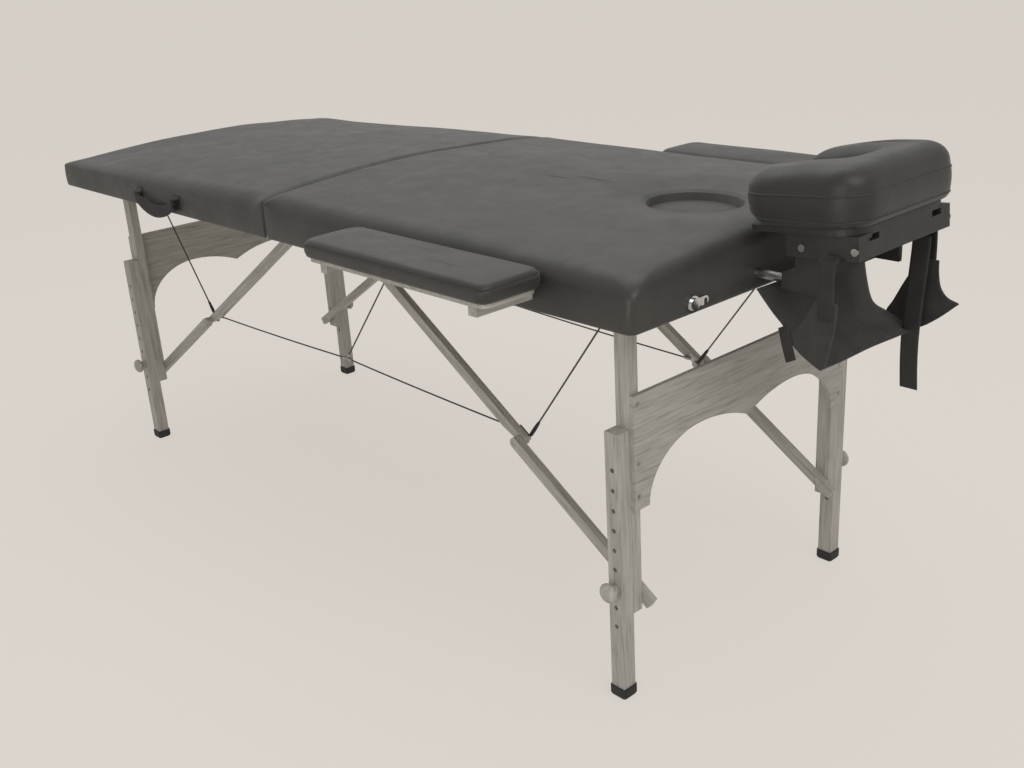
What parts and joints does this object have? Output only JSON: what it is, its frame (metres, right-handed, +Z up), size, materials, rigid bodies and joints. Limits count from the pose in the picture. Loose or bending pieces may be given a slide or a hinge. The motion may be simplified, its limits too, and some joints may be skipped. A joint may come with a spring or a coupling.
{
  "type": "folding massage table",
  "caption": "Portable massage table in two padded halves on folding wooden leg frames with cable-braced struts, armrests, a face cradle and an arm sling.",
  "frame": {"origin": "on the floor, under the middle of the part's outline", "axes": "+X along the table towards the face cradle, +Y across it, +Z up"},
  "size_m": [2.066, 1.01, 0.8768],
  "materials": {
    "wood": "satin",
    "plywood": "satin",
    "vinyl": "satin",
    "steel": "satin",
    "chrome": "polished",
    "rubber": "matte",
    "black_plastic": "matte",
    "webbing": "matte"
  },
  "bodies": {
    "hinge_line": {"hinge_pins": "steel", "centre_cables": "steel"},
    "head_half": {"head_rails": "wood", "head_deck": "plywood", "head_pad": "vinyl", "head_leg_blocks": "wood", "head_pivot_hardware": "steel", "head_hinge_leaves": "steel", "cradle_socket_block": "wood", "head_cables": "steel"},
    "foot_half": {"foot_rails": "wood", "foot_deck": "plywood", "foot_pad": "vinyl", "foot_leg_blocks": "wood", "foot_pivot_hardware": "steel", "foot_hinge_leaves": "steel", "foot_cables": "steel", "latch_catches": "steel", "handle_mounts": "steel"},
    "handle": {"carry_handle": "webbing"},
    "head_leg_frame": {"head_legs": "wood", "head_arch_panel": "plywood", "head_leg_screws": "steel"},
    "foot_leg_frame": {"foot_legs": "wood", "foot_arch_panel": "plywood", "foot_leg_screws": "steel"},
    "head_near_slide": {"head_near_extension": "wood", "head_near_foot": "rubber"},
    "head_near_lock": {"head_near_knob": "wood"},
    "head_far_slide": {"head_far_extension": "wood", "head_far_foot": "rubber"},
    "head_far_lock": {"head_far_knob": "wood"},
    "head_upper_strut_pair": {"head_upper_struts": "wood", "head_knee_bolts": "steel"},
    "head_lower_strut_pair": {"head_lower_struts": "wood", "head_knee_nuts": "steel"},
    "foot_near_slide": {"foot_near_extension": "wood", "foot_near_foot": "rubber"},
    "foot_near_lock": {"foot_near_knob": "wood"},
    "foot_far_slide": {"foot_far_extension": "wood", "foot_far_foot": "rubber"},
    "foot_far_lock": {"foot_far_knob": "wood"},
    "foot_upper_strut_pair": {"foot_upper_struts": "wood", "foot_knee_bolts": "steel"},
    "foot_lower_strut_pair": {"foot_lower_struts": "wood", "foot_knee_nuts": "steel"},
    "near_armrest": {"near_arm_pad": "vinyl", "near_arm_board": "wood"},
    "near_latch_turn": {"near_latch": "chrome"},
    "far_armrest": {"far_arm_pad": "vinyl", "far_arm_board": "wood"},
    "far_latch_turn": {"far_latch": "chrome"},
    "plug": {"breath_plug": "vinyl"},
    "cradle": {"cradle_posts": "steel", "cradle_frame": "black_plastic", "arm_sling": "webbing"},
    "platform": {"cradle_platform": "black_plastic", "cradle_bolts": "steel", "face_cushion": "vinyl"}
  },
  "joints": [
    {"name": "centre_fold_1", "type": "hinge", "parent": "hinge_line", "child": "foot_half", "pos_m": [-0.094, 0, 0.674], "axis": [0, -1, 0], "range_deg": [0, 90], "deforming": ["centre_cables", "head_cables", "foot_cables"]},
    {"name": "centre_fold_2", "type": "hinge", "parent": "hinge_line", "child": "head_half", "pos_m": [-0.094, 0, 0.674], "axis": [0, 1, 0], "range_deg": [0, 90]},
    {"name": "head_legs_fold", "type": "hinge", "parent": "head_half", "child": "head_leg_frame", "pos_m": [0.728, 0, 0.698], "axis": [0, 1, 0], "range_deg": [0, 90]},
    {"name": "head_upper_struts_fold", "type": "hinge", "parent": "head_half", "child": "head_upper_strut_pair", "pos_m": [-0.0585, 0, 0.693], "axis": [0, -1, 0], "range_deg": [0, 33.92]},
    {"name": "head_lower_struts_fold", "type": "hinge", "parent": "head_leg_frame", "child": "head_lower_strut_pair", "pos_m": [0.728, 0, 0.185], "axis": [0, 1, 0], "range_deg": [0, 56.1]},
    {"name": "head_near_height", "type": "slide", "parent": "head_leg_frame", "child": "head_near_slide", "axis": [0, 0, 1], "range_m": [-0.14, 0.07]},
    {"name": "head_near_knob_turn", "type": "hinge", "parent": "head_leg_frame", "child": "head_near_lock", "pos_m": [0.728, -0.327, 0.207], "axis": [0, -1, 0], "continuous": true},
    {"name": "head_far_height", "type": "slide", "parent": "head_leg_frame", "child": "head_far_slide", "axis": [0, 0, 1], "range_m": [-0.14, 0.07]},
    {"name": "head_far_knob_turn", "type": "hinge", "parent": "head_leg_frame", "child": "head_far_lock", "pos_m": [0.728, 0.327, 0.207], "axis": [0, 1, 0], "continuous": true},
    {"name": "foot_legs_fold", "type": "hinge", "parent": "foot_half", "child": "foot_leg_frame", "pos_m": [-0.916, 0, 0.698], "axis": [0, -1, 0], "range_deg": [0, 90]},
    {"name": "foot_upper_struts_fold", "type": "hinge", "parent": "foot_half", "child": "foot_upper_strut_pair", "pos_m": [-0.1295, 0, 0.693], "axis": [0, 1, 0], "range_deg": [0, 33.92]},
    {"name": "foot_lower_struts_fold", "type": "hinge", "parent": "foot_leg_frame", "child": "foot_lower_strut_pair", "pos_m": [-0.916, 0, 0.185], "axis": [0, -1, 0], "range_deg": [0, 56.1]},
    {"name": "foot_near_height", "type": "slide", "parent": "foot_leg_frame", "child": "foot_near_slide", "axis": [0, 0, 1], "range_m": [-0.14, 0.07]},
    {"name": "foot_near_knob_turn", "type": "hinge", "parent": "foot_leg_frame", "child": "foot_near_lock", "pos_m": [-0.916, -0.327, 0.207], "axis": [0, -1, 0], "continuous": true},
    {"name": "foot_far_height", "type": "slide", "parent": "foot_leg_frame", "child": "foot_far_slide", "axis": [0, 0, 1], "range_m": [-0.14, 0.07]},
    {"name": "foot_far_knob_turn", "type": "hinge", "parent": "foot_leg_frame", "child": "foot_far_lock", "pos_m": [-0.916, 0.327, 0.207], "axis": [0, 1, 0], "continuous": true},
    {"name": "near_armrest_pull", "type": "slide", "parent": "head_half", "child": "near_armrest", "axis": [0, -1, 0], "range_m": [0, 0.12]},
    {"name": "near_latch_swing", "type": "hinge", "parent": "head_half", "child": "near_latch_turn", "pos_m": [0.837, -0.253, 0.69], "axis": [-1, 0, 0], "range_deg": [0, 90]},
    {"name": "far_armrest_pull", "type": "slide", "parent": "head_half", "child": "far_armrest", "axis": [0, 1, 0], "range_m": [0, 0.12]},
    {"name": "far_latch_swing", "type": "hinge", "parent": "head_half", "child": "far_latch_turn", "pos_m": [0.837, 0.253, 0.69], "axis": [1, 0, 0], "range_deg": [0, 90]},
    {"name": "plug_lift", "type": "slide", "parent": "head_half", "child": "plug", "axis": [0, 0, 1], "range_m": [0, 0.15]},
    {"name": "cradle_pull", "type": "slide", "parent": "head_half", "child": "cradle", "axis": [1, 0, 0], "range_m": [0, 0.12]},
    {"name": "cradle_tilt", "type": "hinge", "parent": "cradle", "child": "platform", "pos_m": [0.928, 0, 0.757], "axis": [0, -1, 0], "range_deg": [-10, 10]},
    {"name": "handle_swing", "type": "hinge", "parent": "foot_half", "child": "handle", "pos_m": [-0.526, -0.3945, 0.702], "axis": [-1, 0, 0], "range_deg": [0, 100]}
  ],
  "couplings": [
    {"joint": "head_legs_fold", "follows": "centre_fold_1", "ratio": 1},
    {"joint": "head_upper_struts_fold", "follows": "centre_fold_1", "ratio": 0.37673},
    {"joint": "head_lower_struts_fold", "follows": "centre_fold_1", "ratio": 0.62327},
    {"joint": "foot_legs_fold", "follows": "centre_fold_1", "ratio": 1},
    {"joint": "foot_upper_struts_fold", "follows": "centre_fold_1", "ratio": 0.37673},
    {"joint": "foot_lower_struts_fold", "follows": "centre_fold_1", "ratio": 0.62327}
  ]
}
